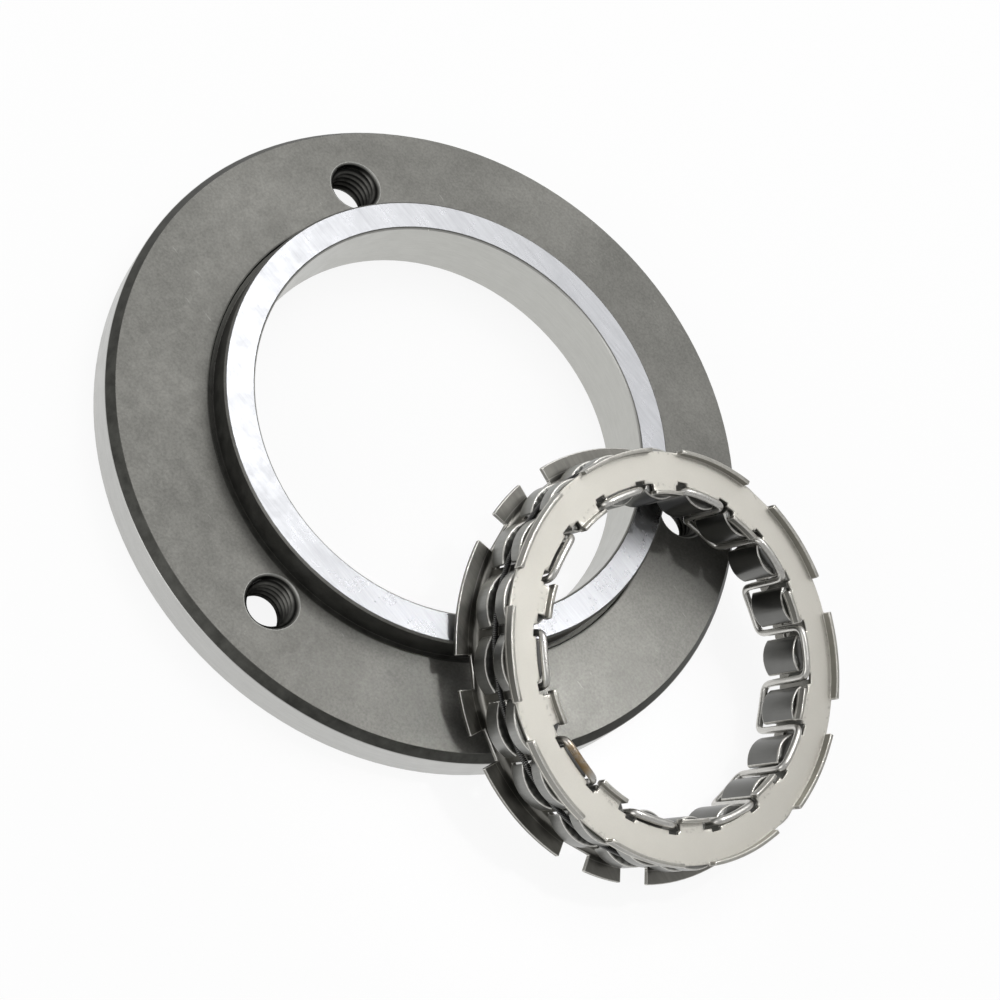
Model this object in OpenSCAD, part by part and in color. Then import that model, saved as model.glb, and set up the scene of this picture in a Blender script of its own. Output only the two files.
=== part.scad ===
// Starter clutch set, shown as it comes off the engine: a flanged outer race lies
// flat on its back face, and the sprag set leans on the race's boss with one edge
// of its lug flange on the same surface. Millimetres, +Z up, origin at the centre
// of the race's back face, sprag set towards +X.

/* [Outer race] */
// Diameter of the hardened track that the sprags jam against
race_d = 66.4; // [60:0.2:72]
// Outside diameter of the boss round the track
boss_d = 76.3; // [74.5:0.1:80]
// Height of the boss above the flange face
boss_h = 4.8; // [4:0.1:7]
// Outside diameter of the bolting flange
flange_d = 109.4; // [104:0.2:124]
// Thickness of the bolting flange
flange_t = 8.2; // [7:0.1:10]
// Radial width of the chamfer round the front rim
rim_chamfer_w = 1.2; // [0.4:0.1:2]
// Axial height of the chamfer round the front rim
rim_chamfer_h = 1.8; // [0.6:0.1:2.5]
// Chamfer round the back rim
back_chamfer = 0.6; // [0.2:0.1:1]
// Small edge break on the boss and the track
edge_break = 0.35; // [0.2:0.05:0.6]
// Width of the turned groove at the foot of the boss
foot_groove_w = 0.9; // [0.5:0.1:1.5]
// Depth of the turned groove at the foot of the boss
foot_groove_depth = 0.4; // [0.2:0.1:0.8]
// Depth of the back recess that takes the lug flange
recess_depth = 1.9; // [1.2:0.1:2.6]
// Radial clearance between the lugs and the back recess
recess_gap = 0.4; // [0.2:0.1:0.8]

/* [Bolt holes] */
// Diameter of the circle through the bolt holes
bolt_circle_d = 87.8; // [87:0.2:91]
// Number of tapped bolt holes
bolt_count = 3; // [3:1:6]
// Tapping diameter of the bolt holes
bolt_hole_d = 8; // [6.8:0.1:8.4]
// Mouth diameter of the countersink at each bolt hole
bolt_csk_d = 8.8; // [8.6:0.1:10]
// Angle of the first bolt hole from the side where the sprag set leans
bolt_first_angle = 37.5; // [30:0.5:45]

/* [Sprags] */
// Space between the hub track and the outer track
track_gap = 8.34; // [7.8:0.02:9]
// Axial length of a sprag
sprag_len = 7.4; // [7:0.1:8]
// How far the released heads stand inside the outer track
head_drop = 0.4; // [0.2:0.05:0.6]
// How far the released feet stand inside the hub's surface
foot_reach = 0.3; // [0.1:0.05:0.4]
// Width of the sprag's outer head
head_w = 8.8; // [8.5:0.1:9]
// Radius of the outer cam face
head_cam_r = 6.5; // [6.3:0.1:8]
// Width of the sprag's inner foot
foot_w = 6; // [5.4:0.1:6.2]
// Radius of the inner cam face
foot_cam_r = 4.4; // [4:0.1:5.5]
// Width of the sprag at its waist
waist_w = 4.6; // [4:0.1:5]
// Sideways offset of each cam centre, which makes the sprag jam one way only
cam_offset = 0.3; // [0.1:0.05:0.4]
// Width of the slot across the head for the garter spring
slot_w = 2; // [1.6:0.1:2.6]
// Depth of that slot below the outer track
slot_depth = 2.6; // [2.5:0.05:2.8]
// How far the slot sits in front of the sprag's middle
slot_shift = 0.35; // [0:0.05:0.6]
// Angle of the first sprag round the set
first_sprag_angle = 4; // [3:0.1:5]

/* [Cage] */
// Sheet thickness of the cage's wall and lug flange
sheet_t = 0.7; // [0.5:0.05:0.9]
// Depth of the cage wall below the outer track
wall_drop = 2.3; // [2.2:0.05:2.4]
// How far the lugs reach past the outer track
lug_reach = 1.4; // [1:0.1:2]
// Width of the gap between two lugs
lug_gap_w = 5.2; // [3.5:0.1:6]
// Angle covered by each long lug
long_lug_angle = 31; // [26:0.5:34]
// Middle angle of the first long lug
first_lug_angle = 39.4; // [30:0.1:50]
// Width of the window round each sprag
window_w = 8.2; // [8:0.1:8.6]
// Radius of the bend between the cage wall and the lug flange
bend_r = 0.9; // [0.5:0.1:1]

/* [End plate] */
// Thickness of the end plate
plate_t = 0.65; // [0.5:0.05:0.8]
// Height of the turned-up rim tabs above the plate's face
rim_tab_h = 1.4; // [0.8:0.1:2]
// Angle covered by each rim tab
rim_tab_angle = 25.4; // [20:0.2:30]
// Thickness of the rim tabs and the inner lips
tab_t = 0.65; // [0.5:0.05:0.8]
// Radial gap between the rim tabs and the outer track
rim_track_gap = 0.75; // [0.5:0.05:0.9]
// Angle of the first inner lip, with a rim tab half way between each two
first_lip_angle = 2.6; // [2.2:0.1:3.4]
// Gap between the inner lips and the hub
lip_hub_gap = 0.25; // [0.15:0.05:0.5]
// Height of the inner lips above the plate's face
lip_h = 1.15; // [0.6:0.05:1.6]
// Width of each inner lip
lip_w = 5.3; // [4:0.1:5.4]
// How much narrower the lip is at its root, at each end, so that it bends cleanly
lip_relief = 0.5; // [0.3:0.1:0.8]
// Width of the relief notches where the wire passes the plate
notch_w = 1.8; // [1.4:0.1:2.4]
// Depth of the relief notches
notch_depth = 0.6; // [0.3:0.1:0.9]

/* [Springs] */
// Wire diameter of the meander spring
wire_d = 1.1; // [1:0.05:1.2]
// Gap between the hub track and the meander wire
wire_hub_gap = 0.7; // [0.5:0.02:0.8]
// Corner radius of the meander wire's bends
wire_bend_r = 1.5; // [1.2:0.1:1.6]
// How far the meander wire sits above the back of the lug flange
wire_rise = 0.3; // [0.3:0.05:0.6]
// How far the front bends stand above the plate's face, to the wire's middle
loop_rise = 0.55; // [0.4:0.05:0.8]
// Outside diameter of the garter spring's coil
garter_d = 1; // [0.8:0.05:1.1]

/* [Fits and rest position] */
// Gap between the meander wire's back bends and the sprags
wire_sprag_gap = 1.05; // [0.8:0.05:1.2]
// Axial running gap at each end of a sprag
sprag_end_gap = 0.15; // [0.1:0.05:0.3]
// Gap between the meander wire and the end plate's inner edge
wire_plate_gap = 0.25; // [0.15:0.05:0.4]
// Gap between the garter spring and the cage wall
garter_wall_gap = 0.1; // [0.05:0.05:0.2]
// Angle at which the sprag set leans
lean = 14.15; // [13.5:0.05:15]
// Height of the lowest lug above the surface
floor_gap = 0.2; // [0.1:0.05:0.4]
// Gap between the leaning set and the boss that carries it
seat_gap = 0.3; // [0.2:0.05:0.5]

/* [Hidden] */

// Facets of the large turned forms and of the small round ones
round_fn = 180;
small_fn = 48;
// Small overlap that lets a cutter or a joined form pass a shared face
eps = 0.05;

// Outer race stations
race_r = race_d / 2;
boss_r = boss_d / 2;
flange_r = flange_d / 2;
housing_h = flange_t + boss_h;

// Radial stations of the sprag set, from the hub outwards
hub_r = race_r - track_gap;
wire_r = hub_r + wire_hub_gap + wire_d / 2;
plate_in_r = wire_r + wire_d / 2 + wire_plate_gap;
wall_out_r = race_r - wall_drop;
crest_r = race_r - head_drop;
foot_r = hub_r - foot_reach;
wall_in_r = wall_out_r - sheet_t;
tab_out_r = race_r - rim_track_gap;
tab_in_r = tab_out_r - tab_t;
lip_in_r = hub_r + lip_hub_gap;
lug_tip_r = race_r + lug_reach;
recess_r = lug_tip_r + recess_gap;
slot_floor_r = race_r - slot_depth;
garter_r = wall_out_r + garter_wall_gap + garter_d / 2;

// Axial stations of the sprag set, from the back of the lug flange forwards
wire_back_z = wire_rise + wire_d / 2;
sprag_back_z = wire_rise + wire_d + wire_sprag_gap;
sprag_front_z = sprag_back_z + sprag_len;
plate_back_z = sprag_front_z + sprag_end_gap;
plate_face_z = plate_back_z + plate_t;
wire_front_z = plate_face_z + loop_rise;
slot_z = (sprag_back_z + sprag_front_z) / 2 + slot_shift;

// The sprags, with a front bend of the wire and a rim tab at every second one
sprag_count = 20;
pitch = 360 / sprag_count;
long_lug_count = 6;
lug_pitch = 360 / long_lug_count;

// Sprag profile: the head spreads from the waist along a hollow on each side
neck_gap = 0.3;
neck_x = wall_out_r + neck_gap;
hollow_r = 3.4;
hollow_y = waist_w / 2 + hollow_r;
hollow_x = neck_x - sqrt(pow(hollow_r, 2) - pow(hollow_y - head_w / 2, 2));

// Rest position: the lowest lug is on the surface and the wall meets the boss edge
set_z = floor_gap + lug_tip_r * sin(lean);
seat_run = (housing_h + seat_gap - set_z) / tan(lean);
set_x = seat_run + sqrt(pow(seat_run, 2) + pow(boss_r, 2) - pow(wall_in_r, 2));

// Places a child that is drawn about the sprag set's own axis
module on_set() {
    translate([set_x, 0, set_z])
        rotate([0, lean, 0])
            children();
}

// Repeats a child round the set at every step from the angle given
module round_set(first_angle, step) {
    for (a = [0 : step : 359])
        rotate([0, 0, first_angle + a])
            children();
}

// Flanged outer race with its boss, foot groove, back recess and tapped holes
module race_housing() {
    color([0.56, 0.55, 0.52])
        difference() {
            rotate_extrude($fn = round_fn)
                race_profile();
            bolt_holes();
        }
}

module race_profile() {
    groove_out_r = boss_r + foot_groove_w;
    polygon([
        [recess_r, 0],
        [flange_r - back_chamfer, 0],
        [flange_r, back_chamfer],
        [flange_r, flange_t - rim_chamfer_h],
        [flange_r - rim_chamfer_w, flange_t],
        [groove_out_r, flange_t],
        [groove_out_r - foot_groove_depth / 2, flange_t - foot_groove_depth],
        [boss_r, flange_t - foot_groove_depth],
        [boss_r, housing_h - edge_break],
        [boss_r - edge_break, housing_h],
        [race_r + edge_break, housing_h],
        [race_r, housing_h - edge_break],
        [race_r, recess_depth],
        [recess_r, recess_depth]
    ]);
}

module bolt_holes() {
    for (i = [0 : bolt_count - 1])
        rotate([0, 0, bolt_first_angle + i * 360 / bolt_count])
            translate([bolt_circle_d / 2, 0, 0])
                rotate_extrude($fn = small_fn)
                    bolt_hole_profile();
}

// Hole with a countersink at its front mouth, run past both faces
module bolt_hole_profile() {
    hole_r = bolt_hole_d / 2;
    mouth_r = bolt_csk_d / 2;
    csk_depth = mouth_r - hole_r;
    polygon([
        [0, -1],
        [hole_r, -1],
        [hole_r, flange_t - csk_depth],
        [mouth_r + 1, flange_t + 1],
        [0, flange_t + 1]
    ]);
}

// Outer cage: a drawn ring whose wall is cut into fingers between the sprags,
// with its back edge flared into long and short lugs
module lug_cage() {
    color([0.40, 0.39, 0.36])
        on_set()
            difference() {
                rotate_extrude($fn = round_fn)
                    cage_profile();
                sprag_windows();
                lug_gaps();
            }
}

module cage_profile() {
    outer_bend_r = bend_r + sheet_t;
    difference() {
        union() {
            translate([wall_in_r, 0])
                square([lug_tip_r - wall_in_r, sheet_t]);
            translate([wall_in_r, 0])
                square([sheet_t, plate_back_z]);
            translate([wall_in_r, 0])
                square([outer_bend_r, outer_bend_r]);
        }
        translate([wall_out_r + bend_r, sheet_t + bend_r])
            circle(r = bend_r, $fn = small_fn);
    }
}

module sprag_windows() {
    round_set(first_sprag_angle, pitch)
        translate([wall_in_r - 1, -window_w / 2, sprag_back_z - sprag_end_gap])
            cube([lug_reach + wall_drop + 2, window_w, sprag_len * 2]);
}

module lug_gaps() {
    root_r = wall_out_r + bend_r;
    half_step = long_lug_angle / 2 + asin(lug_gap_w / 2 / lug_tip_r);
    for (side = [-1, 1])
        round_set(first_lug_angle + side * half_step, lug_pitch)
            translate([root_r, -lug_gap_w / 2, -1])
                cube([lug_reach + wall_drop, lug_gap_w, sheet_t + 2]);
}

// Front end plate with turned-up rim tabs outside and turned-up lips inside
module end_plate() {
    lip_angle = lip_w / lip_in_r * 180 / PI;
    root_angle = (lip_w - 2 * lip_relief) / lip_in_r * 180 / PI;
    color([0.80, 0.78, 0.74])
        on_set() {
            translate([0, 0, plate_back_z])
                linear_extrude(height = plate_t)
                    plate_outline(root_angle);
            round_set(first_lip_angle + pitch, 2 * pitch)
                turned_up_edge(tab_in_r, rim_tab_h, rim_tab_angle);
            round_set(first_lip_angle, 2 * pitch)
                turned_up_edge(lip_in_r, lip_h, lip_angle);
        }
}

module plate_outline(root_angle) {
    difference() {
        union() {
            difference() {
                circle(r = tab_in_r + tab_t / 2, $fn = round_fn);
                circle(r = plate_in_r, $fn = round_fn);
            }
            round_set(first_lip_angle, 2 * pitch)
                flat_sector(lip_in_r + tab_t / 2, plate_in_r + tab_t / 2, root_angle);
        }
        round_set(first_sprag_angle + pitch / 2, pitch)
            translate([lip_in_r - 1, -notch_w / 2])
                square([plate_in_r - lip_in_r + notch_depth + 1, notch_w]);
    }
}

module flat_sector(in_r, out_r, angle) {
    reach = 2 * out_r;
    half = angle / 2;
    intersection() {
        difference() {
            circle(r = out_r, $fn = round_fn);
            circle(r = in_r, $fn = round_fn);
        }
        polygon([[0, 0], [reach * cos(half), -reach * sin(half)], [reach * cos(half), reach * sin(half)]]);
    }
}

// A tab or lip bent up from the plate; the bend begins a little above the plate's back
module turned_up_edge(r, h, angle) {
    bend_z = plate_t / 4;
    rotate([0, 0, -angle / 2])
        rotate_extrude(angle = angle, $fn = round_fn)
            translate([r, plate_back_z + bend_z])
                square([tab_t, plate_t - bend_z + h]);
}

// Meander spring: one wire that runs along the gaps between the sprag feet and
// turns round every second foot at the front and round the others at the back
module meander_spring() {
    color([0.72, 0.70, 0.66])
        on_set()
            rotate([0, 0, first_sprag_angle])
                swept_ring(meander_path(), wire_d / 2);
}

// One bend as [arc length along the track, height], for the gap after sprag i
function meander_bend(i) =
    let (
        front = i % 2 == 0,
        way = front ? 1 : -1,
        edge_z = front ? wire_front_z : wire_back_z,
        z = edge_z - way * wire_bend_r,
        start = (i + 0.5) * pitch * PI / 180 * wire_r,
        run = pitch * PI / 180 * wire_r
    )
    concat(
        [for (a = [180 : -30 : 90])
            [start + wire_bend_r + wire_bend_r * cos(a), z + way * wire_bend_r * sin(a)]],
        [[start + run / 2, edge_z]],
        [for (a = [90 : -30 : 0])
            [start + run - wire_bend_r + wire_bend_r * cos(a), z + way * wire_bend_r * sin(a)]]
    );

function wrap_on_track(p) =
    let (a = p[0] / wire_r * 180 / PI)
    [wire_r * cos(a), wire_r * sin(a), p[1]];

function meander_path() =
    [for (i = [0 : sprag_count - 1]) for (p = meander_bend(i)) wrap_on_track(p)];

function unit(v) = v / norm(v);

// Round wire along a closed path that keeps to a cylinder about Z
module swept_ring(path, r, sides = 8) {
    n = len(path);
    points = [
        for (k = [0 : n - 1])
            let (
                ahead = unit(path[(k + 1) % n] - path[(k + n - 1) % n]),
                out = unit([path[k][0], path[k][1], 0]),
                side = unit(cross(ahead, out)),
                level = cross(side, ahead)
            )
            for (j = [0 : sides - 1])
                path[k] + r * (cos(j * 360 / sides) * level + sin(j * 360 / sides) * side)
    ];
    faces = [
        for (k = [0 : n - 1], j = [0 : sides - 1])
            let (k2 = (k + 1) % n, j2 = (j + 1) % sides)
            [k * sides + j, k2 * sides + j, k2 * sides + j2, k * sides + j2]
    ];
    polyhedron(points = points, faces = faces, convexity = 4);
}

// Garter spring in the slots across the heads, drawn as the outer form of its coil
module garter_spring() {
    color([0.22, 0.22, 0.21])
        on_set()
            translate([0, 0, slot_z])
                rotate_extrude($fn = round_fn)
                    translate([garter_r, 0])
                        circle(d = garter_d, $fn = small_fn);
}

// One sprag, numbered from 0 round the set
module sprag(i) {
    color([0.48, 0.47, 0.45])
        on_set()
            rotate([0, 0, first_sprag_angle + i * pitch])
                difference() {
                    translate([0, 0, sprag_back_z])
                        linear_extrude(height = sprag_len)
                            sprag_profile();
                    translate([0, 0, slot_z - slot_w / 2])
                        head_slot();
                }
}

module sprag_profile() {
    difference() {
        union() {
            intersection() {
                translate([hollow_x, -head_w / 2])
                    square([crest_r - hollow_x + 1, head_w]);
                translate([crest_r - head_cam_r, cam_offset])
                    circle(r = head_cam_r, $fn = small_fn);
            }
            intersection() {
                translate([foot_r - 1, -foot_w / 2])
                    square([hollow_x - foot_r + 1 + eps, foot_w]);
                translate([foot_r + foot_cam_r, -cam_offset])
                    circle(r = foot_cam_r, $fn = small_fn);
            }
        }
        for (side = [-1, 1])
            translate([hollow_x, side * hollow_y])
                circle(r = hollow_r, $fn = small_fn);
    }
}

module head_slot() {
    difference() {
        cylinder(r = race_r + 1, h = slot_w, $fn = round_fn);
        translate([0, 0, -1])
            cylinder(r = slot_floor_r, h = slot_w + 2, $fn = round_fn);
    }
}

race_housing();
lug_cage();
end_plate();
meander_spring();
garter_spring();
sprag(0);  // sprag_01
sprag(1);  // sprag_02
sprag(2);  // sprag_03
sprag(3);  // sprag_04
sprag(4);  // sprag_05
sprag(5);  // sprag_06
sprag(6);  // sprag_07
sprag(7);  // sprag_08
sprag(8);  // sprag_09
sprag(9);  // sprag_10
sprag(10);  // sprag_11
sprag(11);  // sprag_12
sprag(12);  // sprag_13
sprag(13);  // sprag_14
sprag(14);  // sprag_15
sprag(15);  // sprag_16
sprag(16);  // sprag_17
sprag(17);  // sprag_18
sprag(18);  // sprag_19
sprag(19);  // sprag_20
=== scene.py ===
"""Finishes and studio stage for a starter clutch: a flanged outer race with its sprag set leaning on it."""

import math

import bmesh
import bpy
from bpy.props import FloatProperty, FloatVectorProperty, IntProperty, PointerProperty
from mathutils import Matrix, Vector


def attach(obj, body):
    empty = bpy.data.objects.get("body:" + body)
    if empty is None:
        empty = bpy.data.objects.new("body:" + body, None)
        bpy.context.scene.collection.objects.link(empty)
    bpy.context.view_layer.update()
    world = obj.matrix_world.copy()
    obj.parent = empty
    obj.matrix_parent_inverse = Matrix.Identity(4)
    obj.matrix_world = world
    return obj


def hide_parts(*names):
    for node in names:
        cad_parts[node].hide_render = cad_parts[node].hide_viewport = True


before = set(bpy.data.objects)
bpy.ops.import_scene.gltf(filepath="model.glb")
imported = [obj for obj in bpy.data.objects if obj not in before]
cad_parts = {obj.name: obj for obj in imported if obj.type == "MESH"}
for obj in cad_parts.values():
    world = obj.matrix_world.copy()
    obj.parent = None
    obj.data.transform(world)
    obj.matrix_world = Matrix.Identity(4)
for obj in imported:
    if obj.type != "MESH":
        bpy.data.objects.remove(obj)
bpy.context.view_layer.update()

bl_info = {
    "name": "Starter Clutch Finishes",
    "version": (1, 0, 0),
    "blender": (4, 5, 0),
    "location": "View3D > Sidebar > Clutch",
    "description": "Gives the starter clutch its rounded edges, springs, threads and steel finishes",
    "category": "Object",
}

# One millimetre, in Blender's metres
MM = 0.001

# The sprag set's own axis: its centre stands here and it leans about Y
SET_CENTRE = Vector((48.1155, 0.0, 8.6584)) * MM
SET_LEAN = math.radians(14.15)
SET_PLACE = Matrix.Translation(SET_CENTRE) @ Matrix.Rotation(SET_LEAN, 4, "Y")

# Stations of the outer race, in metres, and the bearings of its tapped holes, in degrees
FLANGE_TOP = 8.2 * MM
BOSS_TOP = 13.0 * MM
BORE_R = 33.2 * MM
BOSS_R = 38.15 * MM
FLANGE_R = 54.7 * MM
BOLT_CIRCLE_R = 43.9 * MM
BOLT_R = 4.0 * MM
BOLT_ANGLES = (37.5, 157.5, 277.5)

SPRAG_COUNT = 20

# Stations of the sprag set, in metres, in the set's own frame
GARTER_R = 31.5 * MM
GARTER_Z = 6.5 * MM
PLATE_FACE_Z = 10.65 * MM
PLATE_IN_R = 26.91 * MM
PLATE_OUT_R = 31.8 * MM
TAB_TOP_Z = 12.05 * MM
LIP_TOP_Z = 11.8 * MM
BEND_R = 32.4 * MM
# Rim tabs stand outside this radius and inner lips inside it
MID_PLATE_R = 29 * MM
# Each sprag goes from tumbled to polished, and into painted shade, between these two radii
SPRAG_WAIST_R = 27.5 * MM
SPRAG_FOOT_R = 26.2 * MM
# The one bend of the meander wire that was tempered, and half of its spread
STRAW_BEARING = math.radians(272.6 - 360)
STRAW_SPREAD = 0.11

# The threads stand in from just behind the drilled wall, and run out under the countersink
THREAD_WALL_R = BOLT_R + 0.04 * MM
THREAD_LOW = 0.1 * MM
THREAD_HIGH = FLANGE_TOP + 0.05 * MM
THREAD_TOP_GAP = 0.45 * MM
THREAD_RUN_OUT = 0.6 * MM
STEPS_PER_THREAD = 48

# The garter spring's wire is spun with this many sides, in this many steps to a turn
COIL_SIDES = 5
COIL_STEPS = 9
# Subdivision draws the wire's facets in, so they are moved out by this much first
WIRE_SWELL = 0.12 * MM

# Colours that no setting changes
# Wear and painted highlight on rounded edges, and painted highlight along the cage's bend
EDGE_WEAR_AND_HIGHLIGHT = (0.6, 0.59, 0.555, 1.0)
# Scratches on the flange face, and the painted highlight round the mouths of the holes
SCRATCH_AND_HIGHLIGHT = (0.42, 0.42, 0.4, 1.0)
# Painted shade for the thread flanks inside the tapped holes
THREAD_SHADE = (0.015, 0.015, 0.014, 1.0)
SHEAR_MARK = (0.2, 0.19, 0.17, 1.0)
PLATE_EDGE = (0.42, 0.41, 0.38, 1.0)
# Painted shade for the inner cam faces of the sprags
CAM_FACE_SHADE = (0.13, 0.13, 0.125, 1.0)
RUBBED_COIL = (0.3, 0.3, 0.29, 1.0)
WHITE = (1.0, 1.0, 1.0, 1.0)

# Places of the lamps and the spot that the narrow one lights, in metres
OVERHEAD_PLACE = (-0.2, 0.5, 1.0)
NEAR_SIDE_PLACE = (-0.35, -1.0, 0.4)
ACCENT_PLACE = (-0.11, 0.215, 0.44)
PLATE_LAMP_PLACE = (0.33, 0.58, 0.88)
NARROW_PLACE = (0.05, 0.13, 0.48)
NARROW_AIM = Vector((50, -14, 8)) * MM

# The floor's half width, its drop under the object and the share of it that shows as plain white
FLOOR_REACH = 4
FLOOR_DROP = 0.02 * MM
FLOOR_WHITE = 0.9

# The photograph's camera: place, sideways and upward directions, focal length in millimetres
CAMERA_PLACE = Vector((24.16, -201.48, 297.6)) * MM
CAMERA_RIGHT = Vector((0.62864, 0.64809, 0.4298))
CAMERA_UP = Vector((-0.77719, 0.50422, 0.3765))
CAMERA_LENS = 80.05


# Sizes and colours that a user would change


class ClutchDetail(bpy.types.PropertyGroup):
    sheet_edge: FloatProperty(
        name="Sheet edge", description="Rounding on the pressed cage and plate edges",
        default=0.14 * MM, min=0.02 * MM, max=0.25 * MM, unit="LENGTH", precision=5)
    sprag_edge: FloatProperty(
        name="Sprag edge", description="Rounding on the tumbled edges of each sprag",
        default=0.22 * MM, min=0.02 * MM, max=0.3 * MM, unit="LENGTH", precision=5)
    coil_wire: FloatProperty(
        name="Coil wire", description="Wire diameter of the garter spring",
        default=0.25 * MM, min=0.1 * MM, max=0.35 * MM, unit="LENGTH", precision=5)
    coil_outside: FloatProperty(
        name="Coil diameter", description="Outside diameter of the garter spring's coil",
        default=1.0 * MM, min=0.6 * MM, max=1.1 * MM, unit="LENGTH", precision=5)
    coil_turns: IntProperty(
        name="Coil turns", description="Turns in the garter spring",
        default=640, min=100, max=760)
    thread_pitch: FloatProperty(
        name="Thread pitch", description="Pitch of the threads in the flange's tapped holes",
        default=1.25 * MM, min=0.75 * MM, max=1.75 * MM, unit="LENGTH", precision=5)
    thread_height: FloatProperty(
        name="Thread height", description="How far the threads stand into the tapped holes",
        default=0.62 * MM, min=0.2 * MM, max=0.7 * MM, unit="LENGTH", precision=5)


class ClutchColours(bpy.types.PropertyGroup):
    flange: FloatVectorProperty(
        name="Flange face", description="Blasted face of the flange",
        subtype="COLOR", size=4, min=0, max=1, default=(0.168, 0.166, 0.154, 1))
    boss: FloatVectorProperty(
        name="Ground face", description="Ground front face of the boss",
        subtype="COLOR", size=4, min=0, max=1, default=(0.33, 0.334, 0.347, 1))
    bore: FloatVectorProperty(
        name="Bore", description="Fine turned track inside the race",
        subtype="COLOR", size=4, min=0, max=1, default=(0.5, 0.5, 0.475, 1))
    rim: FloatVectorProperty(
        name="Rim", description="Turned outside of the flange",
        subtype="COLOR", size=4, min=0, max=1, default=(0.49, 0.49, 0.475, 1))
    # Painted shade: this colour is laid as shade in the chamfer, the groove, on the boss side and in the
    # tapped holes
    scale: FloatVectorProperty(
        name="Dark scale", description="Heat-treatment scale left in chamfers, grooves and holes",
        subtype="COLOR", size=4, min=0, max=1, default=(0.055, 0.055, 0.05, 1))
    cage: FloatVectorProperty(
        name="Cage", description="Hardened cage sheet",
        subtype="COLOR", size=4, min=0, max=1, default=(0.2, 0.195, 0.178, 1))
    plate: FloatVectorProperty(
        name="End plate", description="Satin end plate",
        subtype="COLOR", size=4, min=0, max=1, default=(0.64, 0.62, 0.565, 1))
    sprag: FloatVectorProperty(
        name="Sprag", description="Hardened and tumbled sprag steel",
        subtype="COLOR", size=4, min=0, max=1, default=(0.27, 0.27, 0.258, 1))
    wire: FloatVectorProperty(
        name="Spring wire", description="Drawn wire of the meander spring",
        subtype="COLOR", size=4, min=0, max=1, default=(0.6, 0.59, 0.56, 1))
    straw: FloatVectorProperty(
        name="Straw tint", description="Temper colour left on one bend of the wire",
        subtype="COLOR", size=4, min=0, max=1, default=(0.3, 0.2, 0.095, 1))
    garter: FloatVectorProperty(
        name="Garter spring", description="Blackened wire of the garter spring",
        subtype="COLOR", size=4, min=0, max=1, default=(0.06, 0.06, 0.06, 1))


class ClutchStage(bpy.types.PropertyGroup):
    room: FloatProperty(
        name="Room light", description="Level of the even light round the object",
        default=0.5, min=0, max=2)
    overhead: FloatProperty(
        name="Overhead lamp", description="Level of the large soft lamp above",
        default=1.4, min=0, max=6)
    side: FloatProperty(
        name="Side lamp", description="Level of the soft lamp at the near side",
        default=1.6, min=0, max=6)
    accent: FloatProperty(
        name="Accent lamp", description="Level of the small lamp that brightens the boss's left side",
        default=4.3, min=0, max=12)
    narrow: FloatProperty(
        name="Narrow lamp",
        description="Watts of the narrow lamp that brightens the flange inside the sprag set",
        default=9, min=0, max=20)
    floor_colour: FloatVectorProperty(
        name="Floor", description="Colour of the plain floor",
        subtype="COLOR", size=4, min=0, max=1, default=(0.95, 0.95, 0.95, 1))


# Shared work on meshes


def merged_copy(node, flat=0.4):
    """A copy of a CAD solid with its loose triangles merged and its flat faces made whole."""
    bm = bmesh.new()
    bm.from_mesh(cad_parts[node].data)
    bmesh.ops.remove_doubles(bm, verts=bm.verts, dist=0.002 * MM)
    bmesh.ops.dissolve_degenerate(bm, dist=0.001 * MM, edges=bm.edges)
    bmesh.ops.dissolve_limit(
        bm, angle_limit=math.radians(flat), verts=bm.verts, edges=bm.edges, delimit={"NORMAL"})
    return bm


def round_edges(bm, width, sharper_than=50, segments=2):
    """Cuts the faces into triangles, rounds the edges that turn more than the angle given, and marks
    the new faces as rounded edges, which take edge colours, painted highlight and wear."""
    limit = math.radians(sharper_than)
    bmesh.ops.triangulate(bm, faces=bm.faces, quad_method="BEAUTY", ngon_method="BEAUTY")
    edges = [e for e in bm.edges if len(e.link_faces) == 2 and e.calc_face_angle() > limit]
    made = bmesh.ops.bevel(
        bm, geom=edges, offset=width, offset_type="OFFSET", segments=segments, profile=0.5,
        affect="EDGES", material=-1, clamp_overlap=False, loop_slide=True)
    wear_and_highlight = bm.loops.layers.float.new("edge_wear")
    for face in made["faces"]:
        for corner in face.loops:
            corner[wear_and_highlight] = 1.0
    bmesh.ops.recalc_face_normals(bm, faces=bm.faces)


def piece_from(bm, name, material, body, node=None, smooth_under=32):
    """Turns a bmesh into a finished piece that rides on a body and may stand for a CAD node."""
    mesh = bpy.data.meshes.new(name)
    bm.to_mesh(mesh)
    bm.free()
    mesh.shade_smooth()
    mesh.set_sharp_from_angle(angle=math.radians(smooth_under))
    piece = bpy.data.objects.new(name, mesh)
    bpy.context.scene.collection.objects.link(piece)
    mesh.materials.append(material)
    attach(piece, body)
    if node:
        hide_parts(node)
    return piece


def even_shading(piece):
    """Keeps wide flat faces flat beside their rounded edges."""
    even = piece.modifiers.new("Even shading", "WEIGHTED_NORMAL")
    even.mode = "FACE_AREA"
    even.weight = 50
    even.keep_sharp = True


def dress_node(node, material):
    """Gives a CAD node that stays in view its detailed finish."""
    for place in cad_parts[node].material_slots:
        place.material = material


# Shared work on finishes


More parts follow.
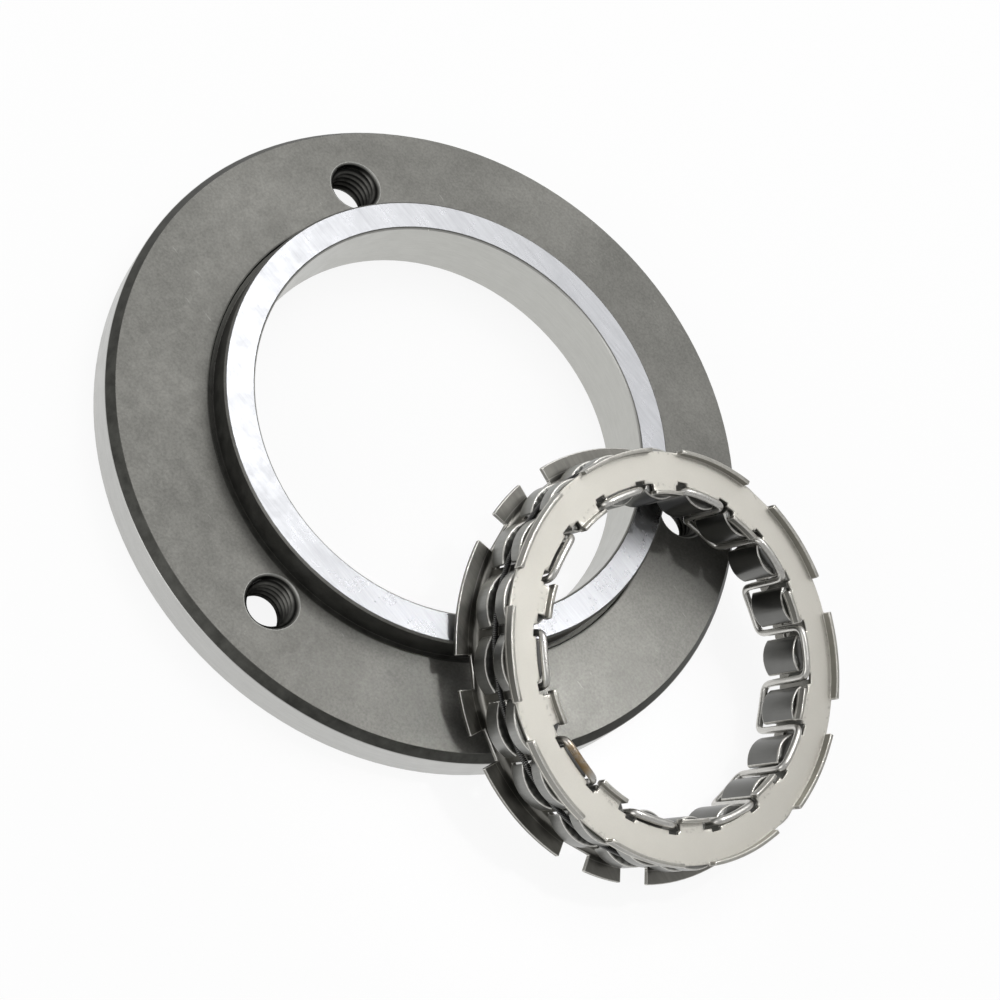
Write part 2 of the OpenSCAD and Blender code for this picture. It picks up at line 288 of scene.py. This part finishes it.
class Finish:
    """One procedural steel finish, built node by node."""

    def __init__(self, name, metal=1.0):
        self.material = bpy.data.materials.new(name)
        self.material.use_nodes = True
        self.tree = self.material.node_tree
        self.shader = self.tree.nodes["Principled BSDF"]
        self.shader.inputs["Metallic"].default_value = metal
        self.place = self.add("ShaderNodeTexCoord").outputs["Object"]

    def add(self, kind, inputs=None, **settings):
        """A new node with its settings, and its inputs linked or set."""
        node = self.tree.nodes.new(kind)
        for key, value in settings.items():
            setattr(node, key, value)
        for key, value in (inputs or {}).items():
            if isinstance(value, bpy.types.NodeSocket):
                self.tree.links.new(value, node.inputs[key])
            elif node.inputs[key].type == "VECTOR":
                node.inputs[key].default_value = tuple(value)[:3]
            else:
                node.inputs[key].default_value = value
        return node

    def math(self, operation, a, b=0.0):
        """One sum worked on two values."""
        return self.add("ShaderNodeMath", {0: a, 1: b}, operation=operation).outputs[0]

    def reach(self, a, b):
        """Length of a step of a one way and b across."""
        return self.math("SQRT", self.math("ADD", self.math("MULTIPLY", a, a), self.math("MULTIPLY", b, b)))

    def in_set_frame(self):
        """Reads the pattern from the leaning set's own centre and axis."""
        self.place = self.add(
            "ShaderNodeMapping",
            {"Vector": self.place, "Location": SET_CENTRE, "Rotation": (0, SET_LEAN, 0)},
            vector_type="TEXTURE").outputs[0]

    def polar(self):
        """Radius, angle and height of a point about the axis."""
        split = self.add("ShaderNodeSeparateXYZ", {0: self.place})
        x, y, z = split.outputs
        return self.reach(x, y), self.math("ARCTAN2", y, x), z

    def from_nearest_hole(self, radius, angle):
        """Distance from the middle of the nearest tapped hole, with the three folded onto one."""
        turned = self.math("SUBTRACT", angle, math.radians(BOLT_ANGLES[0]))
        half = math.radians(180 / len(BOLT_ANGLES))
        folded = self.add("ShaderNodeMath", {0: turned, 1: half, 2: -half}, operation="WRAP").outputs[0]
        outwards = self.math("MULTIPLY", radius, self.math("COSINE", folded))
        across = self.math("MULTIPLY", radius, self.math("SINE", folded))
        return self.reach(self.math("SUBTRACT", outwards, BOLT_CIRCLE_R), across)

    def stretched(self, vector, scale):
        """A place drawn out along the directions with a small scale."""
        return self.add("ShaderNodeMapping", {"Vector": vector, "Scale": scale}).outputs[0]

    def noise(self, vector, scale, detail=4.0, roughness=0.6):
        """Cloudy pattern, finer with a larger scale."""
        return self.add(
            "ShaderNodeTexNoise",
            {"Vector": vector, "Scale": scale, "Detail": detail, "Roughness": roughness}).outputs["Fac"]

    def ramp(self, value, low, high, to_low=0.0, to_high=1.0):
        """Smooth step of a value between two stations."""
        return self.add(
            "ShaderNodeMapRange",
            {"Value": value, "From Min": low, "From Max": high, "To Min": to_low, "To Max": to_high},
            interpolation_type="SMOOTHSTEP").outputs[0]

    def band(self, value, low, high, soft):
        """One inside the two stations and nothing outside them."""
        rise, fall = self.ramp(value, low - soft, low + soft), self.ramp(value, high + soft, high - soft)
        return self.math("MULTIPLY", rise, fall)

    def mix(self, amount, a, b):
        """Mix of two colours."""
        node = self.add("ShaderNodeMix", data_type="RGBA")
        for key, value in ((0, amount), (6, a), (7, b)):
            if isinstance(value, bpy.types.NodeSocket):
                self.tree.links.new(value, node.inputs[key])
            else:
                node.inputs[key].default_value = value
        return node.outputs[2]

    def blend(self, amount, a, b):
        """Mix of two plain values."""
        return self.add("ShaderNodeMix", {0: amount, 2: a, 3: b}, data_type="FLOAT").outputs[0]

    def shade_by(self, colour, value, low, high):
        """Colour made lighter and darker by a pattern."""
        level = self.add(
            "ShaderNodeMapRange",
            {"Value": value, "From Min": 0.3, "From Max": 0.7, "To Min": low, "To Max": high}).outputs[0]
        return self.add("ShaderNodeVectorMath", {0: colour, 1: level}, operation="MULTIPLY").outputs[0]

    def bump(self, height, depth, strength=0.3):
        """Small relief of a pattern."""
        return self.add(
            "ShaderNodeBump", {"Height": height, "Distance": depth, "Strength": strength}).outputs[0]

    def edge_wear(self):
        """One on the rounded edges and nothing on the faces between them."""
        return self.add("ShaderNodeAttribute", attribute_name="edge_wear").outputs["Fac"]

    def wear_and_highlight(self, grain, low):
        """Patchy wear and painted highlight along the rounded edges."""
        return self.math("MULTIPLY", self.edge_wear(), self.ramp(grain, 0.25, 0.6, low, 1.0))

    def finish(self, colour, roughness, normal):
        """The finished material."""
        self.tree.links.new(colour, self.shader.inputs["Base Color"])
        self.tree.links.new(roughness, self.shader.inputs["Roughness"])
        self.tree.links.new(normal, self.shader.inputs["Normal"])
        return self.material


# Finishes of the outer race


def race_finish(colours):
    """Blasted flange, ground boss face, turned rim and bore, painted shade in chamfer, groove, boss side and
    holes.
    """
    steel = Finish("race_steel_finished")
    radius, angle, height = steel.polar()

    # Where each surface lies
    on_boss = steel.ramp(height, BOSS_TOP - 0.06 * MM, BOSS_TOP - 0.02 * MM)
    in_bore = steel.ramp(radius, BORE_R + 0.25 * MM, BORE_R + 0.1 * MM)
    on_rim = steel.ramp(radius, FLANGE_R - 0.12 * MM, FLANGE_R - 0.04 * MM)
    past_face = steel.ramp(radius, FLANGE_R - 1.25 * MM, FLANGE_R - 1.12 * MM)
    upper = steel.ramp(height, FLANGE_TOP - 2.2 * MM, FLANGE_TOP - 1.9 * MM)
    on_chamfer = steel.math("MULTIPLY", past_face, upper)
    in_groove = steel.math(
        "MULTIPLY", steel.band(radius, BOSS_R + 0.05 * MM, BOSS_R + 1.1 * MM, 0.12 * MM),
        steel.ramp(height, FLANGE_TOP + 0.6 * MM, FLANGE_TOP + 0.1 * MM))
    on_boss_side = steel.math(
        "MULTIPLY", steel.band(radius, BOSS_R - 0.5 * MM, BOSS_R + 0.1 * MM, 0.05 * MM),
        steel.band(height, FLANGE_TOP - 0.2 * MM, BOSS_TOP - 0.45 * MM, 0.1 * MM))

    from_hole = steel.from_nearest_hole(radius, angle)
    in_hole = steel.ramp(from_hole, BOLT_R + 0.18 * MM, BOLT_R + 0.04 * MM)
    hole_edge = steel.band(from_hole, BOLT_R + 0.24 * MM, BOLT_R + 0.46 * MM, 0.06 * MM)

    # Patterns: blasting, cloudy wear, grinding lines, turning lines
    blasting = steel.noise(steel.place, 2600, 3)
    cloud = steel.noise(steel.place, 55, 4)
    mottle = steel.noise(steel.place, 420, 5)
    grinding = steel.add(
        "ShaderNodeMapping",
        {"Vector": steel.place, "Rotation": (0, 0, math.radians(-38)), "Scale": (0.05, 1, 1)})
    lines = steel.noise(grinding.outputs[0], 3800, 3, 0.7)
    broad_lines = steel.noise(grinding.outputs[0], 700, 3)
    ring = steel.add("ShaderNodeCombineXYZ", {0: radius, 1: steel.math("MULTIPLY", angle, 0.002), 2: height})
    turning = steel.noise(ring.outputs[0], 5200, 3, 0.7)
    scratches = steel.ramp(steel.noise(steel.stretched(steel.place, (0.2, 1, 1)), 1500, 2), 0.70, 0.78)

    # Colours
    face = steel.shade_by(colours.flange, cloud, 0.86, 1.16)
    face = steel.shade_by(face, mottle, 0.93, 1.07)
    face = steel.shade_by(face, blasting, 0.86, 1.14)
    face = steel.mix(steel.math("MULTIPLY", scratches, 0.25), face, SCRATCH_AND_HIGHLIGHT)
    ground = steel.shade_by(colours.boss, lines, 0.92, 1.07)
    ground = steel.shade_by(ground, broad_lines, 0.94, 1.05)
    track = steel.shade_by(colours.bore, turning, 0.94, 1.05)
    rim = steel.shade_by(colours.rim, turning, 0.92, 1.06)
    # Painted shade: the colour below goes in the chamfer, the groove, on the boss side and in the holes
    painted_shade = steel.shade_by(colours.scale, mottle, 0.7, 1.6)
    colour = steel.mix(on_boss, face, ground)
    colour = steel.mix(in_bore, colour, track)
    colour = steel.mix(on_chamfer, colour, painted_shade)
    colour = steel.mix(on_rim, colour, rim)
    colour = steel.mix(steel.math("MULTIPLY", in_groove, 0.85), colour, painted_shade)
    colour = steel.mix(steel.math("MULTIPLY", on_boss_side, 0.6), colour, painted_shade)
    colour = steel.mix(in_hole, colour, painted_shade)
    # Painted highlight: a bright ring round the mouth of each hole
    colour = steel.mix(steel.math("MULTIPLY", hole_edge, 0.8), colour, SCRATCH_AND_HIGHLIGHT)

    # Gloss and relief
    rough = steel.blend(on_boss, 0.52, 0.3)
    rough = steel.blend(in_bore, rough, 0.36)
    rough = steel.blend(on_rim, rough, 0.34)
    rough = steel.math("ADD", rough, steel.ramp(mottle, 0.3, 0.7, -0.04, 0.04))
    relief = steel.blend(on_boss, blasting, lines)
    relief = steel.blend(steel.math("MAXIMUM", in_bore, on_rim), relief, turning)
    return steel.finish(colour, rough, steel.bump(relief, 0.012 * MM, 0.35))


def thread_finish(colours):
    """Cut threads: flanks painted near black as shade, crests in a dimmed flange colour as painted shade too.
    """
    steel = Finish("thread_steel")
    radius, angle, _ = steel.polar()
    mottle = steel.noise(steel.place, 900, 4)
    from_hole = steel.from_nearest_hole(radius, angle)
    # Painted shade: near black on the flanks and a dimmed flange colour on the crests
    crest = steel.ramp(from_hole, BOLT_R - 0.15 * MM, BOLT_R - 0.45 * MM)
    colour = steel.mix(crest, THREAD_SHADE, steel.shade_by(colours.flange, mottle, 0.5, 1.0))
    rough = steel.ramp(mottle, 0.3, 0.7, 0.28, 0.42)
    return steel.finish(colour, rough, steel.bump(mottle, 0.01 * MM, 0.3))


# Finishes of the sprag set


def cage_finish(colours):
    """Hardened sheet: deep grey and slightly warm, with wear and painted highlight along its edges and a
    painted highlight along its bend.
    """
    steel = Finish("cage_steel_finished")
    steel.in_set_frame()
    radius, _, height = steel.polar()
    cloud = steel.noise(steel.place, 90, 4)
    grain = steel.noise(steel.place, 2200, 4)
    rolled = steel.noise(steel.stretched(steel.place, (0.08, 1, 1)), 1700, 3)
    colour = steel.shade_by(colours.cage, cloud, 0.75, 1.3)
    colour = steel.shade_by(colour, rolled, 0.9, 1.12)
    # Painted highlight: a bright line along the bend of the lugs
    bend_highlight = steel.math(
        "MULTIPLY", steel.band(radius, BEND_R - 0.05 * MM, BEND_R + 0.05 * MM, 0.06 * MM),
        steel.ramp(height, 1.1 * MM, 0.9 * MM))
    colour = steel.mix(steel.math("MULTIPLY", bend_highlight, 0.6), colour, EDGE_WEAR_AND_HIGHLIGHT)
    # Wear and painted highlight along the rounded edges
    colour = steel.mix(steel.wear_and_highlight(grain, 0.6), colour, EDGE_WEAR_AND_HIGHLIGHT)
    rough = steel.ramp(cloud, 0.3, 0.7, 0.3, 0.42)
    return steel.finish(colour, rough, steel.bump(grain, 0.008 * MM, 0.3))


def plate_finish(colours):
    """Satin plate with fine rolling lines and speckled shear marks along its rim; its turned-up tabs and lips
    take painted shade, with lighter tops and wear and painted highlight on their edges.
    """
    steel = Finish("plate_steel_finished", metal=0.85)
    steel.in_set_frame()
    radius, _, height = steel.polar()
    cloud = steel.noise(steel.place, 45, 4)
    grain = steel.noise(steel.place, 3000, 3)
    speck = steel.noise(steel.place, 1500, 3)
    near_rim = steel.math(
        "MAXIMUM", steel.ramp(radius, PLATE_OUT_R - 0.7 * MM, PLATE_OUT_R - 0.1 * MM),
        steel.ramp(radius, PLATE_IN_R + 0.5 * MM, PLATE_IN_R + 0.05 * MM))
    marks = steel.math("MULTIPLY", near_rim, steel.ramp(speck, 0.5, 0.75))
    colour = steel.shade_by(colours.plate, cloud, 0.95, 1.05)
    colour = steel.shade_by(colour, grain, 0.98, 1.03)
    colour = steel.mix(steel.math("MULTIPLY", marks, 0.5), colour, SHEAR_MARK)
    colour = steel.mix(steel.math("MULTIPLY", steel.edge_wear(), 0.35), colour, PLATE_EDGE)
    off_face = steel.math(
        "MAXIMUM", steel.ramp(height, PLATE_FACE_Z + 0.02 * MM, PLATE_FACE_Z + 0.12 * MM),
        steel.ramp(height, PLATE_FACE_Z - 0.1 * MM, PLATE_FACE_Z - 0.25 * MM))
    # Painted shade: the walls of the tabs and lips take the cage colour as shade, with wear and painted
    # highlight on their edges
    painted_tab_shade = steel.shade_by(colours.cage, cloud, 0.9, 1.6)
    painted_tab_shade = steel.mix(steel.wear_and_highlight(grain, 0.5), painted_tab_shade, EDGE_WEAR_AND_HIGHLIGHT)
    # Painted light: the tops of the tabs and lips keep more of the plate colour, so they read lighter than the
    # shaded walls
    tab_top = steel.math(
        "MULTIPLY", steel.ramp(radius, MID_PLATE_R, MID_PLATE_R + MM),
        steel.ramp(height, TAB_TOP_Z - 0.1 * MM, TAB_TOP_Z - 0.04 * MM))
    lip_top = steel.math(
        "MULTIPLY", steel.ramp(radius, MID_PLATE_R, MID_PLATE_R - MM),
        steel.ramp(height, LIP_TOP_Z - 0.1 * MM, LIP_TOP_Z - 0.04 * MM))
    lit_tab_tops = steel.math("MAXIMUM", tab_top, lip_top)
    painted_tab_shade = steel.mix(steel.math("MULTIPLY", lit_tab_tops, 0.4), painted_tab_shade, colour)
    colour = steel.mix(off_face, colour, painted_tab_shade)
    rough = steel.blend(off_face, steel.ramp(grain, 0.3, 0.7, 0.42, 0.5), 0.34)
    return steel.finish(colour, rough, steel.bump(speck, 0.006 * MM, 0.25))


def sprag_finish(colours):
    """Hardened sprag: tumbled grey head, cam face polished and laid in painted shade, wear and painted
    highlight on its edges.
    """
    steel = Finish("sprag_steel_finished")
    steel.in_set_frame()
    radius, angle, height = steel.polar()
    cloud = steel.noise(steel.place, 160, 4)
    grain = steel.noise(steel.place, 2400, 4)
    lay = steel.add(
        "ShaderNodeCombineXYZ",
        {0: steel.math("MULTIPLY", angle, 0.03), 1: radius, 2: steel.math("MULTIPLY", height, 0.08)})
    drawn = steel.noise(lay.outputs[0], 2600, 3, 0.7)
    inner = steel.ramp(radius, SPRAG_WAIST_R, SPRAG_FOOT_R)
    colour = steel.shade_by(colours.sprag, cloud, 0.82, 1.2)
    colour = steel.shade_by(colour, drawn, 0.92, 1.1)
    # Painted shade: the inner cam faces take a dimmed colour
    colour = steel.mix(steel.math("MULTIPLY", inner, 0.8), colour, CAM_FACE_SHADE)
    # Wear and painted highlight along the rounded edges
    colour = steel.mix(steel.wear_and_highlight(grain, 0.55), colour, EDGE_WEAR_AND_HIGHLIGHT)
    rough = steel.blend(inner, steel.ramp(cloud, 0.3, 0.7, 0.3, 0.4), 0.3)
    return steel.finish(colour, rough, steel.bump(steel.blend(0.5, grain, drawn), 0.006 * MM, 0.3))


def wire_finish(colours):
    """Bright drawn wire with one bend tempered to a straw colour."""
    steel = Finish("spring_wire_finished")
    steel.in_set_frame()
    _, angle, height = steel.polar()
    drawn = steel.noise(steel.stretched(steel.place, (1, 1, 0.1)), 2600, 3)
    stain = steel.noise(steel.place, 700, 4)
    near_bend = steel.math(
        "MULTIPLY", steel.band(angle, STRAW_BEARING - STRAW_SPREAD, STRAW_BEARING + STRAW_SPREAD, 0.05),
        steel.ramp(height, 8.5 * MM, 10.5 * MM))
    colour = steel.shade_by(colours.wire, drawn, 0.9, 1.1)
    tempered = steel.math("MULTIPLY", near_bend, steel.ramp(stain, 0.3, 0.6, 0.5, 0.95))
    colour = steel.mix(tempered, colour, colours.straw)
    rough = steel.ramp(stain, 0.3, 0.7, 0.26, 0.36)
    return steel.finish(colour, rough, steel.bump(drawn, 0.005 * MM, 0.2))


def garter_finish(colours):
    """Blackened coil wire with lighter rubbed crests."""
    steel = Finish("garter_wire_finished")
    steel.in_set_frame()
    radius, _, _ = steel.polar()
    stain = steel.noise(steel.place, 1200, 3)
    rubbed = steel.ramp(radius, GARTER_R + 0.3 * MM, GARTER_R + 0.48 * MM, 0.0, 0.5)
    colour = steel.mix(rubbed, steel.shade_by(colours.garter, stain, 0.7, 1.4), RUBBED_COIL)
    rough = steel.ramp(stain, 0.3, 0.7, 0.3, 0.45)
    return steel.finish(colour, rough, steel.bump(stain, 0.004 * MM, 0.2))


# Pieces


class CLUTCH_OT_race(bpy.types.Operator):
    """Finish the flanged outer race and cut the look of its three threads"""

    bl_idname = "clutch.race"
    bl_label = "Outer race"

    def execute(self, context):
        detail, colours = context.scene.clutch_detail, context.scene.clutch_colours
        dress_node("race_housing", race_finish(colours))
        thread = thread_finish(colours)
        for number, bearing in enumerate(BOLT_ANGLES, 1):
            bm = thread_ridge(detail)
            middle = Matrix.Rotation(math.radians(bearing), 4, "Z") @ Vector((BOLT_CIRCLE_R, 0, 0))
            bmesh.ops.translate(bm, verts=bm.verts, vec=middle)
            piece_from(bm, "bolt_thread_%d" % number, thread, "race", smooth_under=50)
        return {"FINISHED"}


def thread_ridge(detail):
    """One helical ridge that stands in from the wall of a tapped hole."""
    bm = bmesh.new()
    turns = (THREAD_HIGH - THREAD_LOW) / detail.thread_pitch - 1
    steps = int(STEPS_PER_THREAD * turns)
    made = bmesh.ops.create_circle(bm, segments=3, radius=0.5 * detail.thread_pitch)
    size = Matrix.Diagonal((detail.thread_height / (0.75 * detail.thread_pitch), 1, 1, 1))
    bmesh.ops.transform(
        bm, verts=made["verts"],
        matrix=Matrix.Rotation(math.radians(90), 4, "X") @ size @ Matrix.Rotation(math.radians(90), 4, "Z"))
    outer = max(v.co.x for v in bm.verts)
    bmesh.ops.translate(
        bm, verts=bm.verts, vec=(THREAD_WALL_R - outer, 0, THREAD_LOW + 0.5 * detail.thread_pitch))
    bmesh.ops.spin(
        bm, geom=bm.verts[:] + bm.edges[:], cent=(0, 0, 0), axis=(0, 0, 1),
        dvec=(0, 0, detail.thread_pitch * turns / steps), angle=math.tau * turns, steps=steps)
    bmesh.ops.holes_fill(bm, edges=bm.edges, sides=4)
    for vert in bm.verts:
        depth = min(1.0, max(0.0, (THREAD_HIGH - THREAD_TOP_GAP - vert.co.z) / THREAD_RUN_OUT))
        reach = vert.co.xy.length
        vert.co.xy *= (THREAD_WALL_R - (THREAD_WALL_R - reach) * depth) / reach
    bmesh.ops.recalc_face_normals(bm, faces=bm.faces)
    return bm


class CLUTCH_OT_cage(bpy.types.Operator):
    """Build the lugged cage with rounded sheet edges"""

    bl_idname = "clutch.cage"
    bl_label = "Lugged cage"

    def execute(self, context):
        detail, colours = context.scene.clutch_detail, context.scene.clutch_colours
        bm = merged_copy("lug_cage")
        round_edges(bm, detail.sheet_edge)
        even_shading(piece_from(bm, "cage_sheet", cage_finish(colours), "sprag_set", "lug_cage"))
        return {"FINISHED"}


class CLUTCH_OT_plate(bpy.types.Operator):
    """Build the end plate with rounded sheet edges"""

    bl_idname = "clutch.plate"
    bl_label = "End plate"

    def execute(self, context):
        detail, colours = context.scene.clutch_detail, context.scene.clutch_colours
        bm = merged_copy("end_plate")
        round_edges(bm, detail.sheet_edge)
        even_shading(
            piece_from(bm, "end_plate_sheet", plate_finish(colours), "sprag_set", "end_plate"))
        return {"FINISHED"}


class CLUTCH_OT_sprags(bpy.types.Operator):
    """Build the twenty sprags with tumbled edges"""

    bl_idname = "clutch.sprags"
    bl_label = "Sprags"

    def execute(self, context):
        detail, colours = context.scene.clutch_detail, context.scene.clutch_colours
        steel = sprag_finish(colours)
        for number in range(1, SPRAG_COUNT + 1):
            node = "sprag_%02d" % number
            bm = merged_copy(node)
            round_edges(bm, detail.sprag_edge)
            even_shading(piece_from(bm, node + "_steel", steel, node + "_body", node))
        return {"FINISHED"}


class CLUTCH_OT_springs(bpy.types.Operator):
    """Build the round meander wire and the coiled garter spring"""

    bl_idname = "clutch.springs"
    bl_label = "Springs"

    def execute(self, context):
        detail, colours = context.scene.clutch_detail, context.scene.clutch_colours
        piece = piece_from(
            round_wire(), "meander_wire", wire_finish(colours), "sprag_set",
            "meander_spring", 180)
        rounder = piece.modifiers.new("Round wire", "SUBSURF")
        rounder.levels = rounder.render_levels = 1
        piece_from(
            garter_coil(detail), "garter_coil", garter_finish(colours), "sprag_set",
            "garter_spring", 180)
        return {"FINISHED"}


def round_wire():
    """The meander spring's wire, with its facets joined to quads so that it can be rounded."""
    bm = merged_copy("meander_spring", flat=0.01)
    bmesh.ops.join_triangles(
        bm, faces=[f for f in bm.faces if len(f.verts) == 3],
        angle_face_threshold=math.radians(60), angle_shape_threshold=math.radians(60))
    bm.normal_update()
    moves = [(v, v.normal.copy()) for v in bm.verts]
    for vert, outwards in moves:
        vert.co += outwards * WIRE_SWELL
    return bm


def garter_coil(detail):
    """A straight coil spun from one ring of wire, doubled until it has all its turns, then bent round
    the set."""
    bm = bmesh.new()
    turns = detail.coil_turns
    pitch = math.tau * GARTER_R / turns
    coil_r = (detail.coil_outside - detail.coil_wire) / 2
    made = bmesh.ops.create_circle(bm, segments=COIL_SIDES, radius=detail.coil_wire / 2)
    bmesh.ops.rotate(bm, verts=made["verts"], cent=(0, 0, 0), matrix=Matrix.Rotation(math.radians(90), 3, "X"))
    bmesh.ops.translate(bm, verts=made["verts"], vec=(coil_r, 0, 0))
    spun, doublings = turns, 0
    while spun % 2 == 0:
        spun, doublings = spun // 2, doublings + 1
    bmesh.ops.spin(
        bm, geom=bm.verts[:] + bm.edges[:], cent=(0, 0, 0), axis=(0, 0, 1),
        dvec=(0, 0, pitch / COIL_STEPS), angle=math.tau * spun, steps=spun * COIL_STEPS)
    for _ in range(doublings):
        again = bmesh.ops.duplicate(bm, geom=bm.verts[:] + bm.edges[:] + bm.faces[:])
        moved = [part for part in again["geom"] if isinstance(part, bmesh.types.BMVert)]
        bmesh.ops.translate(bm, verts=moved, vec=(0, 0, spun * pitch))
        spun *= 2
    for vert in bm.verts:
        bearing = vert.co.z / GARTER_R
        reach = GARTER_R + vert.co.x
        vert.co = Vector((reach * math.cos(bearing), reach * math.sin(bearing), GARTER_Z + vert.co.y))
    bmesh.ops.remove_doubles(bm, verts=bm.verts, dist=0.004 * MM)
    bmesh.ops.recalc_face_normals(bm, faces=bm.faces)
    bmesh.ops.transform(bm, matrix=SET_PLACE, verts=bm.verts)
    return bm


# Stage


class CLUTCH_OT_stage(bpy.types.Operator):
    """Set the plain floor, the soft lamps and the camera"""

    bl_idname = "clutch.stage"
    bl_label = "Studio stage"

    def execute(self, context):
        stage = context.scene.clutch_stage
        room_light(context.scene, stage.room)
        plain_floor(stage)
        soft_lamp("overhead_lamp", OVERHEAD_PLACE, size=1.0, level=stage.overhead)
        soft_lamp("near_side_lamp", NEAR_SIDE_PLACE, size=0.8, level=stage.side)
        soft_lamp("accent_lamp", ACCENT_PLACE, size=0.12, level=stage.accent)
        soft_lamp("plate_lamp", PLATE_LAMP_PLACE, size=0.3, level=stage.accent / 3)
        narrow_lamp("narrow_lamp", NARROW_PLACE, NARROW_AIM, cone=7, power=stage.narrow)
        photo_camera(context.scene)
        return {"FINISHED"}


def room_light(scene, level):
    """Even light from all round, seen as white behind the object."""
    world = bpy.data.worlds.new("studio_room")
    scene.world = world
    world.use_nodes = True
    tree = world.node_tree
    back = tree.nodes["Background"]
    back.inputs["Color"].default_value = WHITE
    ray = tree.nodes.new("ShaderNodeLightPath")
    strength = tree.nodes.new("ShaderNodeMix")
    strength.inputs[2].default_value = level
    strength.inputs[3].default_value = 1.0
    tree.links.new(ray.outputs["Is Camera Ray"], strength.inputs[0])
    tree.links.new(strength.outputs[0], back.inputs["Strength"])


def plain_floor(stage):
    """A wide plain floor, white behind the object, that keeps its shadow."""
    bm = bmesh.new()
    bmesh.ops.create_grid(bm, x_segments=4, y_segments=4, size=FLOOR_REACH)
    bmesh.ops.translate(bm, verts=bm.verts, vec=(0, 0, -FLOOR_DROP))
    mesh = bpy.data.meshes.new("floor")
    bm.to_mesh(mesh)
    bm.free()
    floor = bpy.data.objects.new("floor", mesh)
    bpy.context.scene.collection.objects.link(floor)
    mesh.materials.append(floor_finish(stage.floor_colour))


def floor_finish(colour):
    """A matt floor, mostly plain white as seen and as reflected, that keeps the object's shadow."""
    material = bpy.data.materials.new("floor_white")
    material.use_nodes = True
    tree = material.node_tree
    shader = tree.nodes["Principled BSDF"]
    shader.inputs["Base Color"].default_value = colour
    shader.inputs["Roughness"].default_value = 0.8
    shader.inputs["Specular IOR Level"].default_value = 0.1
    glow = tree.nodes.new("ShaderNodeEmission")
    glow.inputs["Color"].default_value = WHITE
    glow.inputs["Strength"].default_value = 1.0
    ray = tree.nodes.new("ShaderNodeLightPath")
    seen = tree.nodes.new("ShaderNodeMath")
    seen.operation = "MAXIMUM"
    tree.links.new(ray.outputs["Is Camera Ray"], seen.inputs[0])
    tree.links.new(ray.outputs["Is Glossy Ray"], seen.inputs[1])
    share = tree.nodes.new("ShaderNodeMath")
    share.operation = "MULTIPLY"
    share.inputs[1].default_value = FLOOR_WHITE
    tree.links.new(seen.outputs[0], share.inputs[0])
    both = tree.nodes.new("ShaderNodeMixShader")
    tree.links.new(share.outputs[0], both.inputs[0])
    tree.links.new(shader.outputs[0], both.inputs[1])
    tree.links.new(glow.outputs[0], both.inputs[2])
    tree.links.new(both.outputs[0], tree.nodes["Material Output"].inputs["Surface"])
    return material


def soft_lamp(name, place, size, level):
    """A square soft lamp aimed at the object, with its level as seen in a mirror."""
    lamp = bpy.data.lights.new(name, "AREA")
    lamp.shape = "SQUARE"
    lamp.size = size
    lamp.energy = level * math.pi * size * size
    holder = bpy.data.objects.new(name, lamp)
    bpy.context.scene.collection.objects.link(holder)
    holder.location = place
    holder.rotation_euler = Vector(place).to_track_quat("Z", "Y").to_euler()


def narrow_lamp(name, place, aim, cone, power):
    """A lamp with a narrow soft-edged beam, its cone in degrees and its power in watts."""
    lamp = bpy.data.lights.new(name, "SPOT")
    lamp.spot_size = math.radians(cone)
    lamp.spot_blend = 1.0
    lamp.shadow_soft_size = 0.03
    lamp.energy = power
    holder = bpy.data.objects.new(name, lamp)
    bpy.context.scene.collection.objects.link(holder)
    holder.location = place
    holder.rotation_euler = (Vector(place) - aim).to_track_quat("Z", "Y").to_euler()


def photo_camera(scene):
    """The photograph's camera."""
    lens = bpy.data.cameras.new("photo_camera")
    lens.sensor_width = 36
    lens.lens = CAMERA_LENS
    lens.clip_start = 0.01
    camera = bpy.data.objects.new("photo_camera", lens)
    scene.collection.objects.link(camera)
    back = CAMERA_RIGHT.cross(CAMERA_UP)
    turn = Matrix((CAMERA_RIGHT, CAMERA_UP, back)).transposed().to_4x4()
    camera.matrix_world = Matrix.Translation(CAMERA_PLACE) @ turn
    scene.camera = camera
    scene.view_settings.view_transform = "Standard"


# Panel and registration


PIECES = (
    CLUTCH_OT_race, CLUTCH_OT_cage, CLUTCH_OT_plate, CLUTCH_OT_sprags, CLUTCH_OT_springs, CLUTCH_OT_stage)


class CLUTCH_PT_panel(bpy.types.Panel):
    """Lists the pieces of the clutch and the sizes and colours behind them"""

    bl_idname = "CLUTCH_PT_panel"
    bl_label = "Starter Clutch"
    bl_space_type = "VIEW_3D"
    bl_region_type = "UI"
    bl_category = "Clutch"

    def draw(self, context):
        for group in (context.scene.clutch_detail, context.scene.clutch_colours, context.scene.clutch_stage):
            box = self.layout.box()
            for name in group.__annotations__:
                box.prop(group, name)
        for piece in PIECES:
            self.layout.operator(piece.bl_idname)


GROUPS = (ClutchDetail, ClutchColours, ClutchStage)


def register():
    for item in GROUPS + PIECES + (CLUTCH_PT_panel,):
        bpy.utils.register_class(item)
    bpy.types.Scene.clutch_detail = PointerProperty(type=ClutchDetail)
    bpy.types.Scene.clutch_colours = PointerProperty(type=ClutchColours)
    bpy.types.Scene.clutch_stage = PointerProperty(type=ClutchStage)


def unregister():
    del bpy.types.Scene.clutch_stage
    del bpy.types.Scene.clutch_colours
    del bpy.types.Scene.clutch_detail
    for item in reversed(GROUPS + PIECES + (CLUTCH_PT_panel,)):
        bpy.utils.unregister_class(item)


def main():
    register()
    bpy.ops.clutch.race()
    bpy.ops.clutch.cage()
    bpy.ops.clutch.plate()
    bpy.ops.clutch.sprags()
    bpy.ops.clutch.springs()
    bpy.ops.clutch.stage()
    bpy.context.view_layer.update()


if __name__ == "__main__":
    main()
